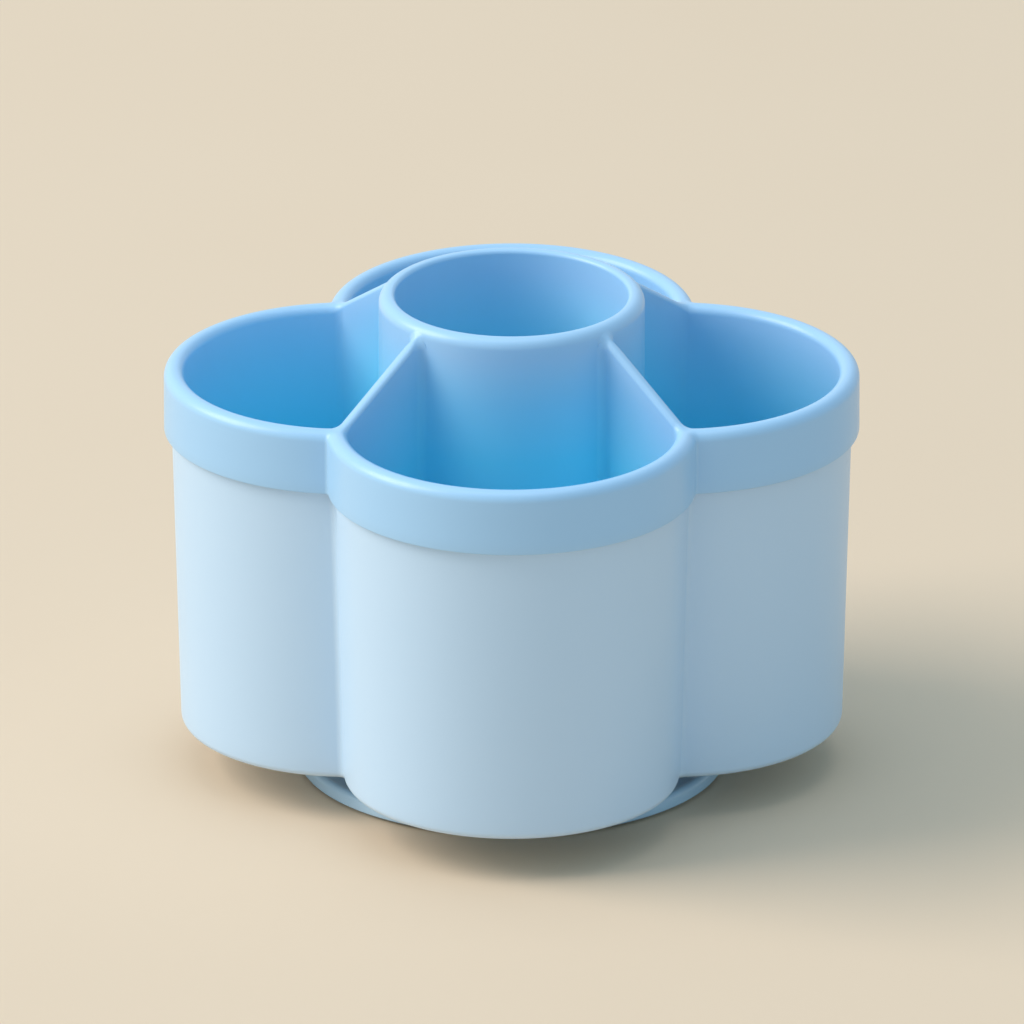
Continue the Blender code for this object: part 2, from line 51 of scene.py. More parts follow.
# Petals seen from above
PETAL_OFFSET = 0.0400
BAND_RADIUS = 0.0450
BAND_VALLEY = 0.0012
TUB_VALLEY = 0.0020

# Heights over the table
RIM_HEIGHT = 0.1033
CUP_HEIGHT = 0.1226
TUB_UNDERSIDE = 0.0110

# Rim band of the liner
BAND_DEPTH = 0.0160
BAND_WALL = 0.0016
LIP_THICKNESS = 0.0030
LIP_OUTER_ROUND = 0.0026
RIM_INNER_ROUND = 0.0021
RIM_FLAT = 0.0001          # level strip between the inner edge and the line where two grids meet
BAND_HEM = 0.0004          # broken edge along the band's lower end

# Tub
TUB_WALL = 0.0014
TUB_FLOOR = 0.0016
TUB_DRAFT = 0.0021
TUB_FOOT_ROUND = 0.0020
TUB_EDGE = 0.0003

# Cells and dividers
LINER_WALL = 0.0013
LINER_FLOOR = 0.0016
CELL_FLOOR_ROUND = 0.0015
CORNER_ROUND = 0.0032
CREASE_ROUND = 0.0022
DIVIDER_HALF = 0.0015
DIVIDER_EDGE_ROUND = 0.0014
DIVIDER_DRAFT = 0.0004
DIVIDER_RUN = 0.0265       # level distance that a divider's sloping top covers
DIVIDER_CUP_DROP = 0.0023  # from the cup's top down to where a divider's slope would meet its wall
DIVIDER_BLEND = 0.0022     # half the length over which the level rim turns into the slope
DIVIDER_FLARE = 0.0013     # how far a divider's top widens to each side, up to the cup's lip
CELL_MIDDLE = 0.0540       # where the floor's grid closes, from the turning axis
CELL_FLOOR_SHARES = (0.15, 0.4, 0.7, 1.0)  # of the way from the floor's round to its middle

# Cup
CUP_RADIUS = 0.0325
CUP_WALL = 0.0040
CUP_DRAFT = 0.0010
CUP_OUTER_ROUND = 0.0026
CUP_INNER_ROUND = 0.0011
CUP_FLOOR_ROUND = 0.0020
CUP_FLOOR_SHARES = (0.6, 0.25, 0.0)  # of the cup's radius at its foot
LIP_MEET = 30.0            # degrees up the cup's outer round, where the cells' grids end

# Foot
PAD_PROUD = 0.0008
DISH_RADIUS = 0.0525
DISH_FLOOR = 0.0016
DISH_RIM_HEIGHT = 0.0036
DISH_RIM_WALL = 0.0030
DISH_EDGE = 0.0005
DISH_INNER_ROUND = 0.0010
RIB_WALL = 0.0014
RIB_HEIGHT = 0.0020
RIB_COUNT = 6
PAD_COUNT = 4
PAD_CIRCLE = 0.0420
PAD_RADIUS = 0.0055
PAD_THICKNESS = 0.0012
PAD_ROUND = 0.0003
SOLE_RING_SHARE = 0.72     # of a pad's radius, where its lowest ring ends
SOLE_DISH_SHARE = 0.64     # of a pad's radius, where the dished middle of its sole starts

# Ball race, pivot and screw
BALL_COUNT = 12
BALL_RADIUS = 0.0025
RACE_RADIUS = 0.0300
RACE_HALF_WIDTH = 0.0040
RACE_LAND_HEIGHT = 0.0028
BALL_STAND = 0.0015
CAGE_HALF_WIDTH = 0.0044
CAGE_THICKNESS = 0.0016
CAGE_EDGE = 0.0002
PIVOT_RADIUS = 0.0043
COLLAR_WALL = 0.0028
COLLAR_GAP = 0.0014
HUB_RADIUS = 0.0110
HUB_RECESS_RADIUS = 0.0088
WASHER_RADIUS = 0.0070
WASHER_THICKNESS = 0.0009
WASHER_EDGE = 0.0002
SCREW_RADIUS = 0.0015
SCREW_LENGTH = 0.0090
SCREW_HEAD_RADIUS = 0.0032
SCREW_HEAD_HEIGHT = 0.0014
SCREW_HEAD_ROUND = 0.0006
SCREW_SETBACK = 0.0002
SCREW_SLOT_WIDTH = 0.0008
SCREW_SLOT_LENGTH = 0.0036
SCREW_SLOT_DEPTH = 0.0009
SLOT_TAPER_SHARE = 0.6     # of its length and width that a slot keeps at its depth
SCREW_POINT = 0.0008
THREAD_DEPTH = 0.0003
THREAD_PITCH = 0.0009
BROKEN_EDGE = 0.0002       # the smallest rounding that a mould leaves on an outer edge

# Grid columns of half a cell, from the middle of the petal to the middle of the cup's side
PETAL_COLUMNS = 40
CORNER_COLUMNS = 8
FACE_COLUMNS = 20
CREASE_COLUMNS = 10
CUP_COLUMNS = 16

# Columns round each turned piece, and rows over edges, rounds and walls
DISH_COLUMNS = 160
RECESS_COLUMNS = 48
PAD_COLUMNS = 64
BALL_COLUMNS = 32
WASHER_COLUMNS = 96
SCREW_COLUMNS = 48
EDGE_ROWS = 4
SMALL_ROUND_ROWS = 6
ROUND_ROWS = 8
LIP_ROWS = 12
BAND_ROWS = 5
WALL_ROWS = 20
THREAD_ROWS = 110
WINDOW_ARCS = 12           # columns along each curved side of a ball window's sector
WINDOW_SIDES = 8           # columns along each straight side of it

MERGE = 2e-6               # points of two grids closer than this are one point
SHARP_EDGE = math.radians(40)
CIRCLE_HANDLE = 0.5523     # share of its radius that a quarter circle's curve handle is long
# Name of the stored depth below the rim, which sets the painted shade in the cells
SHADE_DEPTH_NAME = "painted_shade_depth"

# Heights and radii that follow
ROOT_HALF = math.sqrt(0.5)
BAND_FOOT = RIM_HEIGHT - BAND_DEPTH
CHANNEL_TOP = RIM_HEIGHT - LIP_THICKNESS
TUB_RADIUS = BAND_RADIUS - BAND_WALL - FIT_GAP
TUB_TOP = CHANNEL_TOP - FIT_GAP
TUB_FLOOR_TOP = TUB_UNDERSIDE + TUB_FLOOR
LINER_UNDERSIDE = TUB_FLOOR_TOP + FIT_GAP
CELL_FLOOR = LINER_UNDERSIDE + LINER_FLOOR
CELL_RADIUS = TUB_RADIUS - TUB_WALL - FIT_GAP - LINER_WALL
CREST_RADIUS = CELL_RADIUS + RIM_INNER_ROUND + RIM_FLAT
DIVIDER_RISE = CUP_HEIGHT - DIVIDER_CUP_DROP - RIM_HEIGHT
CUP_LIP_FOOT = CUP_HEIGHT - CUP_OUTER_ROUND
MEET_RADIUS = CUP_RADIUS - CUP_OUTER_ROUND * (1 - math.cos(math.radians(LIP_MEET)))
MEET_HEIGHT = CUP_LIP_FOOT + CUP_OUTER_ROUND * math.sin(math.radians(LIP_MEET))
DISH_UNDERSIDE = PAD_PROUD
DISH_TOP = DISH_UNDERSIDE + DISH_FLOOR
DISH_RIM_TOP = DISH_UNDERSIDE + DISH_RIM_HEIGHT
LOWER_LAND = DISH_TOP + RACE_LAND_HEIGHT
BALL_HEIGHT = LOWER_LAND + BALL_STAND
UPPER_LAND = BALL_HEIGHT + BALL_STAND
GROOVE_RADIUS = BALL_RADIUS + FIT_GAP
GROOVE_DIP = math.degrees(math.asin(BALL_STAND / GROOVE_RADIUS))  # from level, where a groove ends
RACE_OUT, RACE_IN = RACE_RADIUS + RACE_HALF_WIDTH, RACE_RADIUS - RACE_HALF_WIDTH
SCREW_HEAD_TOP = DISH_UNDERSIDE + SCREW_SETBACK + SCREW_HEAD_HEIGHT
PIVOT_END = SCREW_HEAD_TOP + FIT_GAP + WASHER_THICKNESS + FIT_GAP
HUB_CEILING = PIVOT_END + FIT_GAP
WASHER_FOOT = SCREW_HEAD_TOP + FIT_GAP
SCREW_TIP = SCREW_HEAD_TOP + SCREW_LENGTH
HUB_TOP = HUB_CEILING + DISH_FLOOR
COLLAR_TOP = TUB_UNDERSIDE - COLLAR_GAP
BORE_RADIUS = PIVOT_RADIUS + FIT_GAP


# Arrays and outlines

def shares(count):
    """Even shares from 0 to 1, both ends included, with this many steps."""
    return np.linspace(0.0, 1.0, count + 1)


def full_turn(count):
    """Even angles round a full turn, this many, from 0."""
    return 2 * math.pi * np.arange(count) / count


def round_steps(start, end, count):
    """Cosines and sines of even angles between two directions, in degrees."""
    angle = np.radians(start + (end - start) * shares(count))
    return np.cos(angle), np.sin(angle)


def draft_loss(height):
    """Radius that a drafted wall has lost: none behind the rim band, all of it at the tub's foot."""
    return TUB_DRAFT * np.clip((BAND_FOOT - height) / (BAND_FOOT - TUB_UNDERSIDE), 0, 1)


def from_diagonal(along, across):
    """x and y of a point by its distances along the divider's diagonal and across it into the cell."""
    return np.stack([(along + across) * ROOT_HALF, (along - across) * ROOT_HALF], -1)


def four_petals(eighth):
    """A closed path round all four petals from an eighth of it, which ends on the diagonal.

    The eighth is followed by its mirror image over the diagonal, x and y exchanged, and both
    are repeated at each quarter turn, x and y becoming -y and x.
    """
    mirrored = eighth[..., ::-1, ::-1][..., 1:-1, :]
    quarter = np.concatenate([eighth, mirrored], axis=-2)
    turned = [quarter]
    for _ in range(3):
        last = turned[-1]
        turned.append(np.stack([-last[..., 1], last[..., 0]], -1))
    return np.concatenate(turned, axis=-2)


def petal_path(radius, valley):
    """Outlines of the four petals, one row for each radius, as an array (rows, columns, 2).

    A petal is a circle of the radius round (PETAL_OFFSET, 0), and a valley between two petals is
    a circle tangent to both from outside. The valley's centre lies on the diagonal, at half +
    sqrt((radius + valley)^2 - half^2), where half is the petal centre's own distance along it.
    """
    radius, valley = np.broadcast_arrays(np.atleast_1d(radius), np.atleast_1d(valley))
    radius, valley = radius[:, None], valley[:, None]
    half = PETAL_OFFSET * ROOT_HALF
    reach = (half + np.sqrt((radius + valley) ** 2 - half ** 2)) * ROOT_HALF
    turn = np.arctan2(reach, reach - PETAL_OFFSET)
    angle = turn * shares(PETAL_COLUMNS)
    petal = np.stack([PETAL_OFFSET + radius * np.cos(angle), radius * np.sin(angle)], -1)
    angle = math.pi + turn + (math.pi / 4 - turn) * shares(CORNER_COLUMNS // 2)[1:]
    hollow = np.stack([reach + valley * np.cos(angle), reach + valley * np.sin(angle)], -1)
    return four_petals(np.concatenate([petal, hollow], axis=1))


def at_heights(plan, heights):
    """Plan outlines (rows, columns, 2) and one height for each row, as points (rows, columns, 3)."""
    level = np.broadcast_to(np.atleast_1d(heights)[:, None], plan.shape[:2])
    return np.concatenate([plan, level[..., None]], axis=-1)


def tub_rows(heights, depths):
    """Outlines of the tub at some heights, each at a depth inside its outer face."""
    heights, depths = np.broadcast_arrays(np.atleast_1d(heights), np.atleast_1d(depths))
    plan = petal_path(TUB_RADIUS - draft_loss(heights) - depths, TUB_VALLEY + depths)
    return at_heights(plan, heights)


def band_rows(heights, depths):
    """Outlines of the rim band at some heights, each at a depth inside its outer face."""
    heights, depths = np.broadcast_arrays(np.atleast_1d(heights), np.atleast_1d(depths))
    return at_heights(petal_path(BAND_RADIUS - depths, BAND_VALLEY + depths), heights)


def ring_rows(profile, angles):
    """A profile of (radius, height) rows turned about Z: x = r cos a, y = r sin a, z = height."""
    profile = np.asarray(profile, float)
    radius, height = profile[:, :1], profile[:, 1]
    plan = np.stack([radius * np.cos(angles), radius * np.sin(angles)], -1)
    return at_heights(plan, height)


def profile_round(centre, radius, start, end, count=ROUND_ROWS):
    """Profile points on a circle round (radius, height), from one direction to another in degrees."""
    c, s = round_steps(start, end, count)
    return list(zip(centre[0] + radius * c, centre[1] + radius * s))


# Meshes

def grid_faces(rows, columns, first):
    """Four-cornered faces between neighbouring rows of closed outlines, numbered from a first point."""
    row, column = np.meshgrid(np.arange(rows - 1), np.arange(columns), indexing="ij")
    here = first + row * columns + column
    beside = first + row * columns + (column + 1) % columns
    return np.stack([here, beside, beside + columns, here + columns], -1).reshape(-1, 4)


def skin(name, grids, values=None):
    """One closed mesh from grids of points: their shared edges and poles are merged, normals outward."""
    points, faces, first = [], [], 0
    for grid in grids:
        rows, columns = grid.shape[:2]
        points.append(grid.reshape(-1, 3))
        faces.append(grid_faces(rows, columns, first))
        first += rows * columns
    mesh = bpy.data.meshes.new(name)
    mesh.from_pydata(np.concatenate(points).tolist(), [], np.concatenate(faces).tolist())
    for label, arrays in (values or {}).items():
        stored = mesh.attributes.new(label, "FLOAT", "POINT")
        numbers = np.concatenate([array.ravel() for array in arrays])
        stored.data.foreach_set("value", numbers.astype(np.float32))
    shape = bmesh.new()
    shape.from_mesh(mesh)
    bmesh.ops.remove_doubles(shape, verts=shape.verts, dist=MERGE)
    bmesh.ops.dissolve_degenerate(shape, edges=shape.edges, dist=MERGE / 4)
    bmesh.ops.recalc_face_normals(shape, faces=shape.faces)
    shape.to_mesh(mesh)
    shape.free()
    mesh.shade_smooth()
    mesh.set_sharp_from_angle(angle=SHARP_EDGE)
    return mesh


def add_piece(name, mesh, finish, body, nodes):
    """A piece at the origin that rides on a body and stands for CAD nodes."""
    item = bpy.data.objects.new(name, mesh)
    bpy.context.scene.collection.objects.link(item)
    mesh.materials.clear()
    mesh.materials.append(finish)
    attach(item, body)
    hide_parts(*nodes)


# Liner: crest lines shared by the grids

def corner_centre(radius, half):
    """Centre of the circle tangent to the petal wall from inside and to a divider's face."""
    offset = PETAL_OFFSET * ROOT_HALF
    beside = half + CORNER_ROUND
    along = offset + np.sqrt((radius - CORNER_ROUND) ** 2 - (beside - offset) ** 2)
    return along, beside


def crease_centre(half):
    """Centre of the circle tangent to a divider's face and to the outside of the cup."""
    beside = half + CREASE_ROUND
    return np.sqrt((CUP_RADIUS + CREASE_ROUND) ** 2 - beside ** 2), beside


def top_height(along):
    """Height of the rim and of a divider's top at a distance along the diagonal.

    Level outside, then a parabola that is tangent to level and slope: slope x (inside + blend)^2 /
    (4 x blend). Then the straight slope.
    """
    slope = DIVIDER_RISE / DIVIDER_RUN
    inside = CUP_RADIUS + DIVIDER_RUN - along
    blend = slope * np.clip(inside + DIVIDER_BLEND, 0, 2 * DIVIDER_BLEND) ** 2 / (4 * DIVIDER_BLEND)
    return RIM_HEIGHT + blend + slope * np.clip(inside - DIVIDER_BLEND, 0, None)


def cubic(start, first, last, end, count):
    """Rows of points, at even shares, on cubic curves between two ends with two handle points."""
    t = shares(count).reshape(-1, *[1] * np.ndim(start))
    left = 1 - t
    return start * left ** 3 + 3 * first * t * left ** 2 + 3 * last * t ** 2 * left + end * t ** 3


def rim_crest():
    """Line along the top of the rim, from the middle of a petal to the diagonal, (columns, 3)."""
    along, beside = corner_centre(CELL_RADIUS, DIVIDER_HALF)
    corner = from_diagonal(along, beside)
    tangent = math.atan2(corner[1], corner[0] - PETAL_OFFSET)
    offset = PETAL_OFFSET * ROOT_HALF
    end = (offset + math.sqrt(CREST_RADIUS ** 2 - offset ** 2)) * ROOT_HALF
    junction = math.atan2(end, end - PETAL_OFFSET)
    angle = np.concatenate([tangent * shares(PETAL_COLUMNS),
                            tangent + (junction - tangent) * shares(CORNER_COLUMNS // 2)[1:]])
    x, y = PETAL_OFFSET + CREST_RADIUS * np.cos(angle), CREST_RADIUS * np.sin(angle)
    z = np.where(np.arange(len(angle)) < PETAL_COLUMNS, RIM_HEIGHT, top_height((x + y) * ROOT_HALF))
    return np.stack([x, y, z], -1)


def ridge_line():
    """Line along the top of a divider from the rim's crest up into the cup's lip, (columns, 3).

    It follows top_height as far as the crease. From there a cubic curve, tangent to the slope and
    to the lip's round, leads up to where the lip's own grid starts.
    """
    junction = rim_crest()[-1]
    outer, _ = corner_centre(CELL_RADIUS, DIVIDER_HALF)
    inner, _ = crease_centre(DIVIDER_HALF)
    start = (junction[0] + junction[1]) * ROOT_HALF
    along = np.concatenate([start + (outer - start) * shares(CORNER_COLUMNS // 2)[1:],
                            outer + (inner - outer) * shares(FACE_COLUMNS)[1:]])
    line = np.stack([along, top_height(along)], -1)
    foot, meet = line[-1], np.array([MEET_RADIUS, MEET_HEIGHT])
    lean, turn = math.atan2(DIVIDER_RISE, DIVIDER_RUN), math.radians(LIP_MEET)
    handle = np.linalg.norm(meet - foot) / 3
    first = foot + handle * np.array([-math.cos(lean), math.sin(lean)])
    last = meet - handle * np.array([-math.sin(turn), math.cos(turn)])
    line = np.concatenate([line, cubic(foot, first, last, meet, CREASE_COLUMNS)[1:]])
    return np.concatenate([from_diagonal(line[:, 0], 0 * line[:, 0]), line[:, 1:]], -1)


def lip_line():
    """Circle where the cells' grids meet the cup's, from the diagonal to the +X axis, (columns, 3)."""
    angle = math.pi / 4 * (1 - shares(CUP_COLUMNS)[1:])
    x, y = MEET_RADIUS * np.cos(angle), MEET_RADIUS * np.sin(angle)
    return np.stack([x, y, np.full_like(x, MEET_HEIGHT)], -1)


# Liner: one cell

def cell_half(loss):
    """Half of a cell's outline on +X and its outward directions, two arrays (rows, columns, 2).

    loss is an array (rows, columns) of the radius lost to the draft. The outline is five tangent
    runs: the petal wall, the corner's circle, the divider's face, the crease's circle and the
    outside of the cup.
    """
    ends = np.cumsum([0, PETAL_COLUMNS, CORNER_COLUMNS, FACE_COLUMNS, CREASE_COLUMNS, CUP_COLUMNS + 1])
    part = [loss[:, a:b] for a, b in zip(ends, ends[1:])]
    share = [shares(n)[:-1] for n in (PETAL_COLUMNS, CORNER_COLUMNS, FACE_COLUMNS, CREASE_COLUMNS)]
    share.append(shares(CUP_COLUMNS))
    points, outward = [], []
    for run, (gone, t) in enumerate(zip(part, share)):
        radius = CELL_RADIUS - gone
        half = DIVIDER_HALF + DIVIDER_DRAFT / TUB_DRAFT * gone
        corner = from_diagonal(*corner_centre(radius, half))
        tangent = np.arctan2(corner[..., 1], corner[..., 0] - PETAL_OFFSET)
        inner, beside = crease_centre(half)
        crease = from_diagonal(inner, beside)
        aside = np.arctan2(beside, inner)
        if run == 0:
            angle = tangent * t
            centre, reach = np.array([PETAL_OFFSET, 0.0]), radius
        elif run == 1:
            angle = tangent + (0.75 * math.pi - tangent) * t
            centre, reach = corner, CORNER_ROUND
        elif run == 2:
            angle = np.full_like(gone, 0.75 * math.pi)
            outer = corner_centre(radius, half)[0]
            centre, reach = from_diagonal(outer + (inner - outer) * t, half), 0.0
        elif run == 3:
            angle = 0.75 * math.pi + (0.5 * math.pi - aside) * t
            centre, reach = crease, CREASE_ROUND
        else:
            angle = math.pi + (0.25 * math.pi - aside) * (1 - t)
            centre, reach = np.zeros(2), -CUP_RADIUS
        way = np.stack([np.cos(angle), np.sin(angle)], -1)
        points.append(centre + way * np.asarray(reach)[..., None])
        outward.append(way)
    return np.concatenate(points, 1), np.concatenate(outward, 1)


def cell_top(crest):
    """Rows from the crest over the rounded edge to the top of the wall, (rows, columns, 3).

    A level strip leads from the crest to the edge, and a cubic curve with the handles of a
    quarter circle leads from the edge down to the wall. The edge's radius is the rim's round the
    petal, and falls to the divider's by the square of what is left of the corner. Across the crease
    the curve's upper handle turns from level to the slant of the cup's lip, and the level strip
    widens by the flare x the square of the way across. The cup's side goes round the lower part of
    the lip and then straight down, by even steps of length.
    """
    columns = len(crest)
    face_end = PETAL_COLUMNS + CORNER_COLUMNS + FACE_COLUMNS
    cup_start = face_end + CREASE_COLUMNS
    index = np.arange(columns)
    flat, outward = (a[0] for a in cell_half(np.zeros((1, columns))))

    def lifted(plan):
        """Plan points at the height that the rim or the divider's top has there."""
        height = np.where(index < PETAL_COLUMNS, RIM_HEIGHT, top_height(plan.sum(-1) * ROOT_HALF))
        return np.concatenate([plan, height[:, None]], -1)

    left = np.clip(1 - (index - PETAL_COLUMNS) / CORNER_COLUMNS, 0, 1)[:, None]
    bend = DIVIDER_EDGE_ROUND + (RIM_INNER_ROUND - DIVIDER_EDGE_ROUND) * left ** 2
    edge = lifted(flat + outward * bend)
    first = lifted(flat + outward * bend * (1 - CIRCLE_HANDLE))
    wall = np.concatenate([flat, edge[:, 2:] - bend], -1)
    last = wall + [0, 0, CIRCLE_HANDLE] * bend

    crease = (index >= face_end) & (index < cup_start)
    across = np.array([ROOT_HALF, -ROOT_HALF, 0])
    turn = math.radians(LIP_MEET)
    down = np.array([ROOT_HALF * math.sin(turn), ROOT_HALF * math.sin(turn), -math.cos(turn)])
    low = wall[face_end - 1, 2]
    wall[crease, 2] = low
    near = ((index[crease] - face_end) / CREASE_COLUMNS)[:, None]
    strip = DIVIDER_HALF - DIVIDER_EDGE_ROUND
    edge[crease] = crest[crease] + across * (strip + DIVIDER_FLARE * near ** 2)
    spread = np.linalg.norm(wall[crease, :2] - edge[crease, :2], axis=-1)[:, None]
    drop = (edge[crease, 2] - low)[:, None]
    first[crease] = edge[crease] + (across * spread * (1 - near) + down * drop * near) * CIRCLE_HANDLE
    last[crease] = wall[crease] + np.array([0, 0, CIRCLE_HANDLE]) * drop
    curve = cubic(edge, first, last, wall, ROUND_ROWS)

    cup = index >= cup_start
    t = (np.arange(ROUND_ROWS + 1)[:, None] + 1) / (ROUND_ROWS + 1)
    lip = CUP_OUTER_ROUND * turn
    run = (lip + CUP_LIP_FOOT - low) * t
    tilt = (lip - np.clip(run, 0, lip)) / CUP_OUTER_ROUND
    reach = CUP_RADIUS - CUP_OUTER_ROUND * (1 - np.cos(tilt))
    height = CUP_LIP_FOOT + CUP_OUTER_ROUND * np.sin(tilt) - np.clip(run - lip, 0, None)
    above, below = (np.arctan2(line[cup, 1], line[cup, 0]) for line in (crest, flat))
    flare = np.where(index[cup] == cup_start, (strip + DIVIDER_FLARE) / MEET_RADIUS, 0)
    way = (above - flare) * (1 - t) + below * t
    curve[:, cup] = np.stack([reach * np.cos(way), reach * np.sin(way), height + 0 * way], -1)
    return np.concatenate([crest[None], curve])


def cell_grid():
    """The whole skin of one cell on +X, from its crest to the middle of its floor."""
    crest = np.concatenate([rim_crest(), ridge_line(), lip_line()])
    top = cell_top(crest)
    high, low = top[-1, :, 2], CELL_FLOOR + CELL_FLOOR_ROUND
    t = shares(WALL_ROWS)[1:, None]
    height = high * (1 - t) + low * t
    plan, _ = cell_half(draft_loss(height))
    wall = np.concatenate([plan, height[..., None]], -1)
    c, s = round_steps(0, 90, ROUND_ROWS)
    height = (low - CELL_FLOOR_ROUND * s[1:])[:, None] * np.ones_like(high)
    plan, outward = cell_half(draft_loss(height))
    plan = plan - outward * (CELL_FLOOR_ROUND * (1 - c[1:]))[:, None, None]
    floor_round = np.concatenate([plan, height[..., None]], -1)
    middle = np.array([CELL_MIDDLE, 0, CELL_FLOOR])
    t = np.array(CELL_FLOOR_SHARES)[:, None, None]
    floor = floor_round[-1] * (1 - t) + middle * t
    half = np.concatenate([top, wall, floor_round, floor])
    mirrored = half[:, ::-1][:, 1:-1] * [1, -1, 1]
    return np.concatenate([half, mirrored], 1)


def depth_below_rim(grid):
    """Depth of points below the rim, or below a cone that climbs from the rim to the cup as the
    dividers do: rim height + slope x distance inside the slope's outer end - z, at least zero."""
    reach = np.hypot(grid[..., 0], grid[..., 1])
    climb = DIVIDER_RISE / DIVIDER_RUN * np.clip(CUP_RADIUS + DIVIDER_RUN - reach, 0, DIVIDER_RUN)
    return np.clip(RIM_HEIGHT + climb - grid[..., 2], 0, None)


def quarter_turns(grid):
    """The grid of one cell and its copies at the other three quarter turns."""
    copies = [grid]
    for _ in range(3):
        last = copies[-1]
        copies.append(np.stack([-last[..., 1], last[..., 0], last[..., 2]], -1))
    return copies


def band_grid():
    """Outside of the liner: from the crest of the rim over the lip, down the band, up inside it,
    over the tub's edge, down the hidden wall and under the floor to the axis."""
    eighth = rim_crest()
    crest_plan = four_petals(eighth[:, :2])
    lifts = np.concatenate([eighth[:, 2], eighth[::-1, 2][1:-1]])
    crest = np.concatenate([crest_plan, np.tile(lifts, 4)[:, None]], -1)[None]
    c, s = round_steps(0, 90, LIP_ROWS)
    lip = band_rows(RIM_HEIGHT - LIP_OUTER_ROUND * (1 - c), LIP_OUTER_ROUND * (1 - s))
    face_top, face_foot = RIM_HEIGHT - LIP_OUTER_ROUND, BAND_FOOT + BAND_HEM
    face = band_rows(face_top + (face_foot - face_top) * shares(BAND_ROWS)[1:], 0.0)
    c, s = round_steps(0, 90, EDGE_ROWS)
    hem = band_rows(face_foot - BAND_HEM * s[1:], BAND_HEM * (1 - c[1:]))
    under = band_rows([BAND_FOOT, BAND_FOOT + BAND_HEM, CHANNEL_TOP],
                      [BAND_WALL - BAND_HEM, BAND_WALL, BAND_WALL])
    inner = TUB_WALL + FIT_GAP
    hidden_foot = LINER_UNDERSIDE + TUB_FOOT_ROUND - TUB_WALL + FIT_GAP
    hidden = tub_rows([CHANNEL_TOP, BAND_FOOT, hidden_foot, LINER_UNDERSIDE],
                      [inner, inner, inner, TUB_FOOT_ROUND + 2 * FIT_GAP])
    pole = np.zeros_like(crest) + [0, 0, LINER_UNDERSIDE]
    return np.concatenate([crest, lip, face, hem, under, hidden, pole])


def cup_grid():
    """Lip and inside of the cup: a profile turned about Z, closed in the middle of its floor."""
    mouth = CUP_RADIUS - CUP_WALL
    foot = mouth - CUP_DRAFT
    top, low = CUP_HEIGHT - CUP_INNER_ROUND, CELL_FLOOR + CUP_FLOOR_ROUND
    lip = profile_round((CUP_RADIUS - CUP_OUTER_ROUND, CUP_LIP_FOOT), CUP_OUTER_ROUND, LIP_MEET, 90,
                        LIP_ROWS)
    inner = profile_round((mouth + CUP_INNER_ROUND, top), CUP_INNER_ROUND, 90, 180)
    t = shares(WALL_ROWS)[1:-1]
    wall = list(zip(mouth + (foot - mouth) * t, top + (low - top) * t))
    corner = profile_round((foot - CUP_FLOOR_ROUND, low), CUP_FLOOR_ROUND, 0, -90)
    floor = [(foot * share, CELL_FLOOR) for share in CUP_FLOOR_SHARES]
    return ring_rows(lip + inner + wall + corner + floor, math.pi / 4 + full_turn(8 * CUP_COLUMNS))


def liner_mesh():
    """The liner: one cell at four quarter turns, the outside and the cup. Each point carries its
    depth below the rim, which sets the painted shade: a deeper blue down in the cells."""
    cell, band, cup = cell_grid(), band_grid(), cup_grid()
    inside = depth_below_rim(cell)
    # Depth below the rim for the painted shade in the cells and the cup; none on the outside
    depths = [inside] * 4 + [np.zeros(band.shape[:2]), depth_below_rim(cup)]
    return skin("petal_liner", quarter_turns(cell) + [band, cup], {SHADE_DEPTH_NAME: depths})


# Tub

def tub_mesh():
    """The tub as one profile: from the middle of its floor inside, up the wall, over the edge,
    down the drafted outside, round the foot, and in under the floor past race and pivot."""
    inner_low = TUB_FLOOR_TOP + TUB_FOOT_ROUND - TUB_WALL
    inside = tub_rows([TUB_FLOOR_TOP, inner_low, BAND_FOOT, TUB_TOP - TUB_EDGE, TUB_TOP],
                      [TUB_FOOT_ROUND, TUB_WALL, TUB_WALL, TUB_WALL, TUB_WALL - TUB_EDGE])
    edge = tub_rows([TUB_TOP, TUB_TOP - TUB_EDGE, BAND_FOOT], [TUB_EDGE, 0.0, 0.0])
    foot = TUB_UNDERSIDE + TUB_FOOT_ROUND
    outside = tub_rows(BAND_FOOT + (foot - BAND_FOOT) * shares(WALL_ROWS)[1:], 0.0)
    c, s = round_steps(0, 90, ROUND_ROWS)
    heel = tub_rows(foot - TUB_FOOT_ROUND * s[1:], TUB_FOOT_ROUND * (1 - c[1:]))
    angles = np.unwrap(np.arctan2(heel[-1, :, 1], heel[-1, :, 0]))
    pilot, pilot_top = SCREW_RADIUS + FIT_GAP, SCREW_TIP + FIT_GAP
    profile = [(RACE_OUT, TUB_UNDERSIDE), (RACE_OUT, UPPER_LAND + BROKEN_EDGE),
               (RACE_OUT - BROKEN_EDGE, UPPER_LAND)]
    profile += profile_round((RACE_RADIUS, BALL_HEIGHT), GROOVE_RADIUS, GROOVE_DIP, 180 - GROOVE_DIP)
    profile += [(RACE_IN + BROKEN_EDGE, UPPER_LAND), (RACE_IN, UPPER_LAND + BROKEN_EDGE),
                (RACE_IN, TUB_UNDERSIDE), (PIVOT_RADIUS, TUB_UNDERSIDE),
                (PIVOT_RADIUS, PIVOT_END + BROKEN_EDGE), (PIVOT_RADIUS - BROKEN_EDGE, PIVOT_END),
                (pilot, PIVOT_END), (pilot, pilot_top), (0, pilot_top)]
    under = ring_rows(profile, angles)
    pole = np.zeros_like(inside[:1]) + [0, 0, TUB_FLOOR_TOP]
    return skin("petal_tub", [np.concatenate([pole, inside, edge, outside, heel, under])])


# Foot

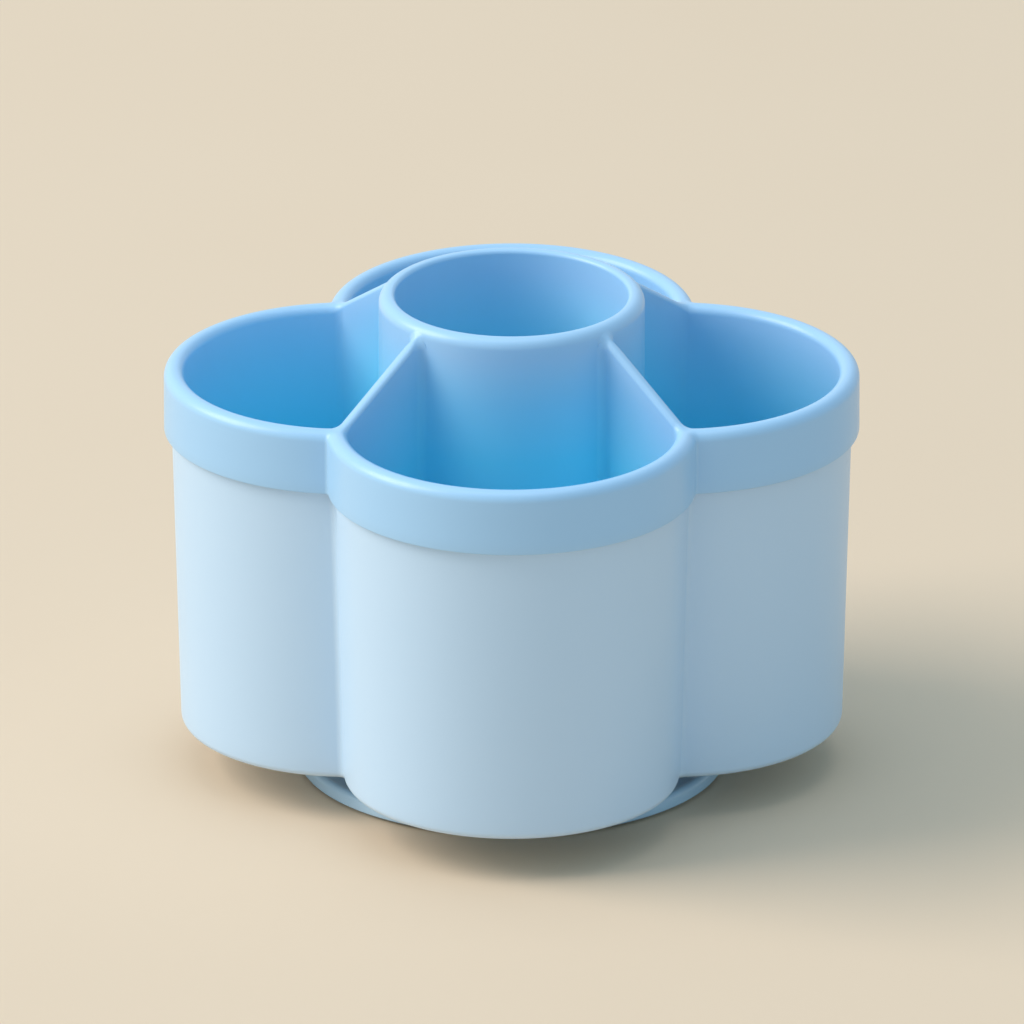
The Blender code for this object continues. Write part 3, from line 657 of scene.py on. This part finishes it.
def box_grid(corner, far, narrowed=1.0):
    """A closed box between two corners, as a grid of four outlines, with the upper end narrowed."""
    x = np.array([corner[0], far[0], far[0], corner[0]])
    y = np.array([corner[1], corner[1], far[1], far[1]])
    middle = [(corner[0] + far[0]) / 2, (corner[1] + far[1]) / 2]
    ring = np.stack([x, y], -1)
    caps = np.broadcast_to(middle, ring.shape)
    plan = np.stack([caps, ring, caps + (ring - caps) * narrowed, caps])
    return at_heights(plan, [corner[2], corner[2], far[2], far[2]])


def carve(mesh, tools, operation):
    """The mesh joined with a tool mesh, or with the tool cut away."""
    body = bpy.data.objects.new("carved", mesh)
    tool = bpy.data.objects.new("tool", tools)
    for item in (body, tool):
        bpy.context.scene.collection.objects.link(item)
    step = body.modifiers.new("Carve", "BOOLEAN")
    step.operation = operation
    step.solver = "EXACT"
    step.object = tool
    bpy.context.view_layer.update()
    made = bpy.data.meshes.new_from_object(body.evaluated_get(bpy.context.evaluated_depsgraph_get()))
    for item in (body, tool):
        bpy.data.objects.remove(item)
    made.shade_smooth()
    made.set_sharp_from_angle(angle=SHARP_EDGE)
    return made


def dish_mesh():
    """The foot as a turned profile, with ribs between hub and race and a recess for each pad."""
    rim_round = DISH_RIM_WALL / 2
    rim_middle = DISH_RADIUS - rim_round
    well, collar = DISH_RADIUS - DISH_RIM_WALL, BORE_RADIUS + COLLAR_WALL
    profile = profile_round((rim_middle, DISH_RIM_TOP - rim_round), rim_round, 180, 0, 2 * ROUND_ROWS)
    profile += profile_round((DISH_RADIUS - DISH_EDGE, DISH_UNDERSIDE + DISH_EDGE), DISH_EDGE, 0, -90,
                             EDGE_ROWS)
    profile += [(HUB_RECESS_RADIUS, DISH_UNDERSIDE), (HUB_RECESS_RADIUS, HUB_CEILING),
                (BORE_RADIUS, HUB_CEILING), (BORE_RADIUS, COLLAR_TOP),
                (collar - BROKEN_EDGE, COLLAR_TOP), (collar, COLLAR_TOP - BROKEN_EDGE), (collar, HUB_TOP),
                (HUB_RADIUS - BROKEN_EDGE, HUB_TOP), (HUB_RADIUS, HUB_TOP - BROKEN_EDGE),
                (HUB_RADIUS, DISH_TOP), (RACE_IN, DISH_TOP), (RACE_IN, LOWER_LAND - BROKEN_EDGE),
                (RACE_IN + BROKEN_EDGE, LOWER_LAND)]
    profile += profile_round((RACE_RADIUS, BALL_HEIGHT), GROOVE_RADIUS, 180 + GROOVE_DIP, 360 - GROOVE_DIP)
    profile += [(RACE_OUT - BROKEN_EDGE, LOWER_LAND), (RACE_OUT, LOWER_LAND - BROKEN_EDGE),
                (RACE_OUT, DISH_TOP)]
    profile += profile_round((well - DISH_INNER_ROUND, DISH_TOP + DISH_INNER_ROUND), DISH_INNER_ROUND,
                             -90, 0, SMALL_ROUND_ROWS)
    profile += [profile[0]]
    dish = skin("turning_foot", [ring_rows(profile, full_turn(DISH_COLUMNS))])
    sunk = FIT_GAP * 2
    rib = box_grid((HUB_RADIUS - sunk, -RIB_WALL / 2, DISH_TOP - sunk),
                   (RACE_IN + sunk, RIB_WALL / 2, DISH_TOP + RIB_HEIGHT))
    ribs = [turned_grid(rib, 2 * math.pi * k / RIB_COUNT) for k in range(RIB_COUNT)]
    dish = carve(dish, skin("ribs", ribs), "UNION")
    recess = [(0, -PAD_PROUD), (PAD_RADIUS + FIT_GAP, -PAD_PROUD),
              (PAD_RADIUS + FIT_GAP, PAD_THICKNESS + FIT_GAP), (0, PAD_THICKNESS + FIT_GAP)]
    recesses = [ring_rows(recess, full_turn(RECESS_COLUMNS)) + place for place in pad_places()]
    return carve(dish, skin("recesses", recesses), "DIFFERENCE")


def turned_grid(grid, angle):
    """A grid turned about Z by an angle."""
    c, s = math.cos(angle), math.sin(angle)
    return grid @ np.array([[c, s, 0], [-s, c, 0], [0, 0, 1]])


def pad_places():
    """Middles of the rubber pads, on the diagonals."""
    angles = math.pi / PAD_COUNT + full_turn(PAD_COUNT)
    return np.stack([PAD_CIRCLE * np.cos(angles), PAD_CIRCLE * np.sin(angles), 0 * angles], -1)


def ball_places():
    """Middles of the balls, the first on +X."""
    angles = full_turn(BALL_COUNT)
    level = np.full_like(angles, BALL_HEIGHT)
    return np.stack([RACE_RADIUS * np.cos(angles), RACE_RADIUS * np.sin(angles), level], -1)


def pad_mesh(name, place):
    """A rubber disc with a rounded lower edge and a faintly dished sole."""
    sole = PAD_ROUND / 3
    profile = [(0, PAD_THICKNESS), (PAD_RADIUS - PAD_ROUND / 2, PAD_THICKNESS),
               (PAD_RADIUS, PAD_THICKNESS - PAD_ROUND / 2)]
    profile += profile_round((PAD_RADIUS - PAD_ROUND, PAD_ROUND), PAD_ROUND, 0, -90, EDGE_ROWS)
    profile += [(PAD_RADIUS * SOLE_RING_SHARE, 0), (PAD_RADIUS * SOLE_DISH_SHARE, sole), (0, sole)]
    return skin(name, [ring_rows(profile, full_turn(PAD_COLUMNS)) + place])


# Ball race, washer and screw

def cage_mesh():
    """A flat ring with a round window for each ball.

    One window's share of the ring is a grid: columns go round the window and round the sector of
    the ring about it, rows go from the sector's underside edge to the window, up its wall and out
    again over the top. The edges are chamfers. Two walls close the ring inside and outside.
    """
    half = math.pi / BALL_COUNT
    wide = half * (2 * shares(WINDOW_ARCS)[:-1] - 1)
    across = CAGE_HALF_WIDTH * (1 - 2 * shares(WINDOW_SIDES)[:-1])
    inner, outer = RACE_RADIUS - CAGE_HALF_WIDTH + CAGE_EDGE, RACE_RADIUS + CAGE_HALF_WIDTH - CAGE_EDGE
    side = RACE_RADIUS + across * (1 - CAGE_EDGE / CAGE_HALF_WIDTH)
    reach = np.concatenate([np.full(WINDOW_ARCS, outer), side,
                            np.full(WINDOW_ARCS, inner), 2 * RACE_RADIUS - side])
    turn = np.concatenate([wide, np.full(WINDOW_SIDES, half), -wide, np.full(WINDOW_SIDES, -half)])
    sector = np.stack([reach * np.cos(turn), reach * np.sin(turn)], -1)
    away = sector - [RACE_RADIUS, 0]
    window = away / np.linalg.norm(away, axis=-1)[:, None]
    edge = [RACE_RADIUS, 0] + window * (GROOVE_RADIUS + CAGE_EDGE)
    wall = [RACE_RADIUS, 0] + window * GROOVE_RADIUS
    between = (sector + edge) / 2
    low, high = BALL_HEIGHT - CAGE_THICKNESS / 2, BALL_HEIGHT + CAGE_THICKNESS / 2
    plan = np.stack([sector, between, edge, wall, wall, edge, between, sector])
    share = at_heights(plan, [low, low, low, low + CAGE_EDGE, high - CAGE_EDGE, high, high, high])
    grids = [turned_grid(share, 2 * half * k) for k in range(BALL_COUNT)]
    angles = half * (2 * np.arange(WINDOW_ARCS * BALL_COUNT) / WINDOW_ARCS - 1)
    heights = [low, low + CAGE_EDGE, high - CAGE_EDGE, high]
    for reach, wall in ((outer, outer + CAGE_EDGE), (inner, inner - CAGE_EDGE)):
        grids.append(ring_rows(list(zip([reach, wall, wall, reach], heights)), angles))
    return skin("ball_cage_ring", grids)


def ball_mesh(name, place):
    """A ball as a half circle turned about its own upright axis."""
    half = profile_round((0, 0), BALL_RADIUS, -90, 90, BALL_COLUMNS // 2)
    return skin(name, [ring_rows(half, full_turn(BALL_COLUMNS)) + place])


def washer_mesh():
    """A punched washer: rounded over on the lower side, with a small chamfer on the upper."""
    hole, top = SCREW_RADIUS + FIT_GAP, WASHER_FOOT + WASHER_THICKNESS
    low, chamfer = WASHER_FOOT + WASHER_EDGE, WASHER_EDGE / 2
    profile = [(hole, low), (hole, top - chamfer), (hole + chamfer, top),
               (WASHER_RADIUS - chamfer, top), (WASHER_RADIUS, top - chamfer)]
    profile += profile_round((WASHER_RADIUS - WASHER_EDGE, low), WASHER_EDGE, 0, -90, EDGE_ROWS)
    profile += profile_round((hole + WASHER_EDGE, low), WASHER_EDGE, -90, -180, EDGE_ROWS)
    return skin("washer", [ring_rows(profile, full_turn(WASHER_COLUMNS))])


def screw_mesh():
    """A pan head with a tapered cross recess, and a shank with a thread.

    The thread is the shank's radius less depth x a triangle wave of (height / pitch - angle / turn),
    and the wave fades out towards the head and the tip.
    """
    angles = full_turn(SCREW_COLUMNS)
    head_foot = SCREW_HEAD_TOP - SCREW_HEAD_HEIGHT
    head = [(0, head_foot)]
    head += profile_round((SCREW_HEAD_RADIUS - SCREW_HEAD_ROUND, head_foot + SCREW_HEAD_ROUND),
                          SCREW_HEAD_ROUND, -90, 0, SMALL_ROUND_ROWS)
    head += [(SCREW_HEAD_RADIUS, SCREW_HEAD_TOP), (SCREW_RADIUS, SCREW_HEAD_TOP)]
    height = SCREW_HEAD_TOP + (SCREW_LENGTH - SCREW_POINT) * shares(THREAD_ROWS)[1:, None]
    phase = height / THREAD_PITCH - angles / (2 * math.pi)
    groove = THREAD_DEPTH * np.abs(2 * (phase % 1) - 1)
    fade = np.clip((height - SCREW_HEAD_TOP) / THREAD_PITCH, 0, 1)
    radius = SCREW_RADIUS - groove * fade
    shank = np.stack([radius * np.cos(angles), radius * np.sin(angles), height + 0 * angles], -1)
    tip = ring_rows([(SCREW_RADIUS - SCREW_POINT, SCREW_TIP), (0, SCREW_TIP)], angles)
    screw = skin("screw", [np.concatenate([ring_rows(head, angles), shank, tip])])
    half, reach = SCREW_SLOT_WIDTH / 2, SCREW_SLOT_LENGTH / 2
    under, roof = head_foot - SCREW_SLOT_DEPTH, head_foot + SCREW_SLOT_DEPTH
    slot = box_grid((-reach, -half, under), (reach, half, roof), SLOT_TAPER_SHARE)
    for k in range(2):
        screw = carve(screw, skin("slot", [turned_grid(slot, k * math.pi / 2)]), "DIFFERENCE")
    return screw


# Materials

def linear(hex_colour):
    """Linear colour of an sRGB hex value."""
    parts = [int(hex_colour[i:i + 2], 16) / 255 for i in (0, 2, 4)]
    return [c / 12.92 if c <= 0.04045 else ((c + 0.055) / 1.055) ** 2.4 for c in parts] + [1.0]


def node(tree, kind, inputs=None, **settings):
    """Adds a node with its settings, and sets or links its inputs."""
    made = tree.nodes.new(kind)
    for key, value in settings.items():
        setattr(made, key, value)
    for key, value in (inputs or {}).items():
        if isinstance(value, bpy.types.NodeSocket):
            tree.links.new(value, made.inputs[key])
        else:
            made.inputs[key].default_value = value
    return made


def new_finish(name):
    """An empty node material and its Principled shader."""
    finish = bpy.data.materials.new(name)
    finish.use_nodes = True
    tree = finish.node_tree
    return finish, tree, tree.nodes["Principled BSDF"]


MILLIMETRE = 0.001
POLYPROPYLENE_IOR, NYLON_IOR, RUBBER_IOR = 1.49, 1.53, 1.52

# Widths of the patterns in the surfaces, in millimetres. A mould's own grain is about 0.05 mm wide,
# too fine to show, so grain and tooth are drawn wider.
FLOW_CLOUD = 38
FLOW_STREAK = 2.2
MOULD_GRAIN = 0.6
NYLON_CLOUD = 6
BALL_CLOUD = 0.8
ZINC_CLOUD = 0.5
RUBBER_TOOTH = 0.35
BOARD_CLOUD = 180

STREAK_DRAW = 0.06         # scale along Z, which draws a streak out upward
STREAK_ROUGHNESS = 0.03    # how far a streak changes the roughness, up and down
PAINTED_SHADE_START, PAINTED_SHADE_FULL = 3, 30  # millimetres below the rim where the painted shade, a deeper blue, starts and is full


def per_mm(size):
    """Noise scale whose features are this many millimetres wide, on coordinates in metres."""
    return 1 / (size * MILLIMETRE)


def clouded(tree, shader, pattern, colours, roughness):
    """Base colour and roughness that follow one pattern, each between two values."""
    colour = node(tree, "ShaderNodeMix",
                  {"Factor": pattern, "A": linear(colours[0]), "B": linear(colours[1])}, data_type="RGBA")
    tree.links.new(colour.outputs["Result"], shader.inputs["Base Color"])
    rough = node(tree, "ShaderNodeMapRange",
                 {"Value": pattern, "To Min": roughness[0], "To Max": roughness[1]})
    tree.links.new(rough.outputs["Result"], shader.inputs["Roughness"])


def moulded_polypropylene(name, colours, roughness, painted_shade_colour=None):
    """Injection-moulded polypropylene with a satin skin.

    The eye gets a soft broad highlight that breaks up slightly over a fine grain, and a colour
    that clouds by a percent or two where the melt flowed. With a painted shade colour it also gets
    bluer down in the cells, the further below the rim the bluer: painted shade, not a colour of the plastic.
    """
    finish, tree, shader = new_finish(name)
    place = node(tree, "ShaderNodeTexCoord").outputs["Object"]
    cloud = node(tree, "ShaderNodeTexNoise", {"Vector": place, "Scale": per_mm(FLOW_CLOUD), "Detail": 3.0})
    drawn = node(tree, "ShaderNodeMapping", {"Vector": place, "Scale": (1, 1, STREAK_DRAW)})
    streak = node(tree, "ShaderNodeTexNoise",
                  {"Vector": drawn.outputs["Vector"], "Scale": per_mm(FLOW_STREAK), "Detail": 2.0})
    grain = node(tree, "ShaderNodeTexNoise", {"Vector": place, "Scale": per_mm(MOULD_GRAIN), "Detail": 3.0})
    mixed = node(tree, "ShaderNodeMix",
                 {"Factor": cloud.outputs["Fac"], "A": linear(colours[0]), "B": linear(colours[1])},
                 data_type="RGBA")
    # Painted shade: a deeper blue mixed in by the depth below the rim, down in the cells
    if painted_shade_colour:
        depth = node(tree, "ShaderNodeAttribute", attribute_name=SHADE_DEPTH_NAME)
        share = node(tree, "ShaderNodeMapRange",
                     {"Value": depth.outputs["Fac"], "From Min": PAINTED_SHADE_START * MILLIMETRE,
                      "From Max": PAINTED_SHADE_FULL * MILLIMETRE})
        mixed = node(tree, "ShaderNodeMix",
                     {"Factor": share.outputs["Result"], "A": mixed.outputs["Result"], "B": linear(painted_shade_colour)},
                     data_type="RGBA")
    tree.links.new(mixed.outputs["Result"], shader.inputs["Base Color"])
    rough = node(tree, "ShaderNodeMapRange",
                 {"Value": streak.outputs["Fac"], "From Min": 0.3, "From Max": 0.7,
                  "To Min": roughness - STREAK_ROUGHNESS, "To Max": roughness + STREAK_ROUGHNESS})
    tree.links.new(rough.outputs["Result"], shader.inputs["Roughness"])
    bump = node(tree, "ShaderNodeBump",
                {"Height": grain.outputs["Fac"], "Strength": 0.12, "Distance": 0.03 * MILLIMETRE})
    tree.links.new(bump.outputs["Normal"], shader.inputs["Normal"])
    shader.inputs["IOR"].default_value = POLYPROPYLENE_IOR
    return finish


def moulded_nylon():
    """Moulded nylon: off-white, waxy, slightly clouded."""
    finish, tree, shader = new_finish("moulded nylon")
    place = node(tree, "ShaderNodeTexCoord").outputs["Object"]
    cloud = node(tree, "ShaderNodeTexNoise", {"Vector": place, "Scale": per_mm(NYLON_CLOUD), "Detail": 3.0})
    clouded(tree, shader, cloud.outputs["Fac"], ("E9E6DC", "DEDACE"), (0.38, 0.48))
    shader.inputs["IOR"].default_value = NYLON_IOR
    return finish


def metal(name, colours, roughness, size):
    """Steel with a faint cloud: ground balls are bright and nearly even, plated parts duller."""
    finish, tree, shader = new_finish(name)
    place = node(tree, "ShaderNodeTexCoord").outputs["Object"]
    cloud = node(tree, "ShaderNodeTexNoise", {"Vector": place, "Scale": per_mm(size), "Detail": 4.0})
    clouded(tree, shader, cloud.outputs["Fac"], colours, roughness)
    shader.inputs["Metallic"].default_value = 1.0
    return finish


def moulded_rubber():
    """Moulded rubber: dull grey, with a fine tooth from the mould."""
    finish, tree, shader = new_finish("moulded rubber")
    place = node(tree, "ShaderNodeTexCoord").outputs["Object"]
    tooth = node(tree, "ShaderNodeTexNoise", {"Vector": place, "Scale": per_mm(RUBBER_TOOTH), "Detail": 3.0})
    clouded(tree, shader, tooth.outputs["Fac"], ("62686D", "555A5F"), (0.7, 0.85))
    bump = node(tree, "ShaderNodeBump",
                {"Height": tooth.outputs["Fac"], "Strength": 0.4, "Distance": 0.05 * MILLIMETRE})
    tree.links.new(bump.outputs["Normal"], shader.inputs["Normal"])
    shader.inputs["IOR"].default_value = RUBBER_IOR
    return finish


def painted_board():
    """Floor: a plain pale board in matt paint, with the faintest cloudiness and hardly any sheen."""
    finish, tree, shader = new_finish("pale painted board")
    place = node(tree, "ShaderNodeTexCoord").outputs["Object"]
    cloud = node(tree, "ShaderNodeTexNoise", {"Vector": place, "Scale": per_mm(BOARD_CLOUD), "Detail": 2.0})
    colour = node(tree, "ShaderNodeMix",
                  {"Factor": cloud.outputs["Fac"], "A": linear("EED4B9"), "B": linear("EBD0B4")},
                  data_type="RGBA")
    tree.links.new(colour.outputs["Result"], shader.inputs["Base Color"])
    shader.inputs["Roughness"].default_value = 0.9
    shader.inputs["Specular IOR Level"].default_value = 0.15
    return finish


# 7CE4FF is painted shade: the deeper blue down in the cells
SKY_PLASTIC_WITH_PAINTED_SHADE = moulded_polypropylene("moulded polypropylene, sky blue", ("AED7F8", "AAD4F6"), 0.32, "7CE4FF")
# The foot is paler than the liner's blue: painted light that lifts it out of its shade under the tub
FOOT_PLASTIC_PAINTED_LIGHT = moulded_polypropylene("moulded polypropylene, foot, paler as painted light", ("C6E5FB", "C2E2F9"), 0.38)
PALE_PLASTIC = moulded_polypropylene("moulded polypropylene, pale blue", ("CBE4FA", "C8E2F9"), 0.38)
NYLON = moulded_nylon()
BALL_STEEL = metal("ground bearing steel", ("C4C6C8", "B6B8BA"), (0.09, 0.22), BALL_CLOUD)
ZINC_STEEL = metal("zinc-plated steel", ("B4B6B8", "9DA0A4"), (0.29, 0.42), ZINC_CLOUD)
RUBBER = moulded_rubber()


# Pieces

add_piece("petal_liner", liner_mesh(), SKY_PLASTIC_WITH_PAINTED_SHADE, "turntable", ["cell_liner"])
add_piece("petal_tub", tub_mesh(), PALE_PLASTIC, "turntable", ["outer_tub"])
add_piece("turning_foot", dish_mesh(), FOOT_PLASTIC_PAINTED_LIGHT, "base", ["base_dish"])
for number, place in enumerate(pad_places(), 1):
    add_piece(f"rubber_pad_{number}", pad_mesh(f"rubber_pad_{number}", place), RUBBER, "base",
              [f"foot_pad_{number}"])

add_piece("ball_cage_ring", cage_mesh(), NYLON, "ball_ring", ["ball_cage"])
for number, place in enumerate(ball_places(), 1):
    add_piece(f"race_ball_{number}", ball_mesh(f"race_ball_{number}", place), BALL_STEEL, "ball_ring",
              [f"ball_{number}"])
add_piece("washer", washer_mesh(), ZINC_STEEL, "turntable", ["pivot_washer"])
add_piece("screw", screw_mesh(), ZINC_STEEL, "turntable", ["pivot_screw"])


# Floor, light and camera

FLOOR_REACH = 12.0
LIT_COLOUR, LIT_STRENGTH = "BFE6FF", 0.63
BACKDROP_COLOUR, BACKDROP_STRENGTH = "E7E3D8", 1.0
LAMP_TARGET = (0, 0, 0.06)
VIEW_TARGET = (0.00007, 0.0, 0.06495)
VIEW_RISE = math.radians(21.69)
VIEW_DISTANCE = 8.0
LENS, SENSOR_WIDTH = 1149.2, 36.0
VIEW_END = 100.0


def area_light(name, place, size, power, colour):
    """A square soft box that faces the object."""
    lamp = bpy.data.lights.new(name, "AREA")
    lamp.shape = "SQUARE"
    lamp.size = size
    lamp.energy = power
    lamp.color = linear(colour)[:3]
    item = bpy.data.objects.new(name, lamp)
    item.location = place
    item.rotation_euler = (Vector(LAMP_TARGET) - Vector(place)).to_track_quat("-Z", "Y").to_euler()
    bpy.context.scene.collection.objects.link(item)


def add_floor():
    """A level sheet through the table top, large enough to fill every view."""
    mesh = bpy.data.meshes.new("floor")
    corners = [(x * FLOOR_REACH, y * FLOOR_REACH, 0) for x, y in ((-1, -1), (1, -1), (1, 1), (-1, 1))]
    mesh.from_pydata(corners, [], [(0, 1, 2, 3)])
    mesh.materials.append(painted_board())
    item = bpy.data.objects.new("floor", mesh)
    bpy.context.scene.collection.objects.link(item)


def add_world():
    """Even daylight: one strength for what lights the object, another tone for what the camera sees."""
    world = bpy.data.worlds.new("even daylight")
    bpy.context.scene.world = world
    world.use_nodes = True
    tree = world.node_tree
    tree.nodes.clear()
    ray = node(tree, "ShaderNodeLightPath")
    mirrored = node(tree, "ShaderNodeMath",
                    {0: ray.outputs["Is Camera Ray"], 1: ray.outputs["Is Glossy Ray"]},
                    operation="MAXIMUM")
    seen = node(tree, "ShaderNodeMath", {0: mirrored.outputs[0], 1: ray.outputs["Is Transmission Ray"]},
                operation="MAXIMUM")
    lit = node(tree, "ShaderNodeBackground", {"Color": linear(LIT_COLOUR), "Strength": LIT_STRENGTH})
    backdrop = node(tree, "ShaderNodeBackground",
                    {"Color": linear(BACKDROP_COLOUR), "Strength": BACKDROP_STRENGTH})
    mixed = node(tree, "ShaderNodeMixShader",
                 {0: seen.outputs[0], 1: lit.outputs[0], 2: backdrop.outputs[0]})
    node(tree, "ShaderNodeOutputWorld", {"Surface": mixed.outputs[0]})


def add_camera():
    """A long lens, 8 m away and about 22 degrees above the table, square to one petal."""
    camera = bpy.data.cameras.new("camera")
    camera.lens = LENS
    camera.sensor_width = SENSOR_WIDTH
    camera.clip_end = VIEW_END
    item = bpy.data.objects.new("camera", camera)
    away = Vector((0, -math.cos(VIEW_RISE), math.sin(VIEW_RISE)))
    item.location = Vector(VIEW_TARGET) + VIEW_DISTANCE * away
    item.rotation_euler = (math.pi / 2 - VIEW_RISE, 0, 0)
    bpy.context.scene.collection.objects.link(item)
    bpy.context.scene.camera = item


add_floor()
add_world()
area_light("window", (-4.14, 0.0, 3.29), size=3.5, power=222.0, colour="FFF9F0")
area_light("ceiling", (0, 0, 2.26), size=1.6, power=8.0, colour="FFFFFF")
add_camera()
bpy.context.scene.view_settings.view_transform = "Standard"
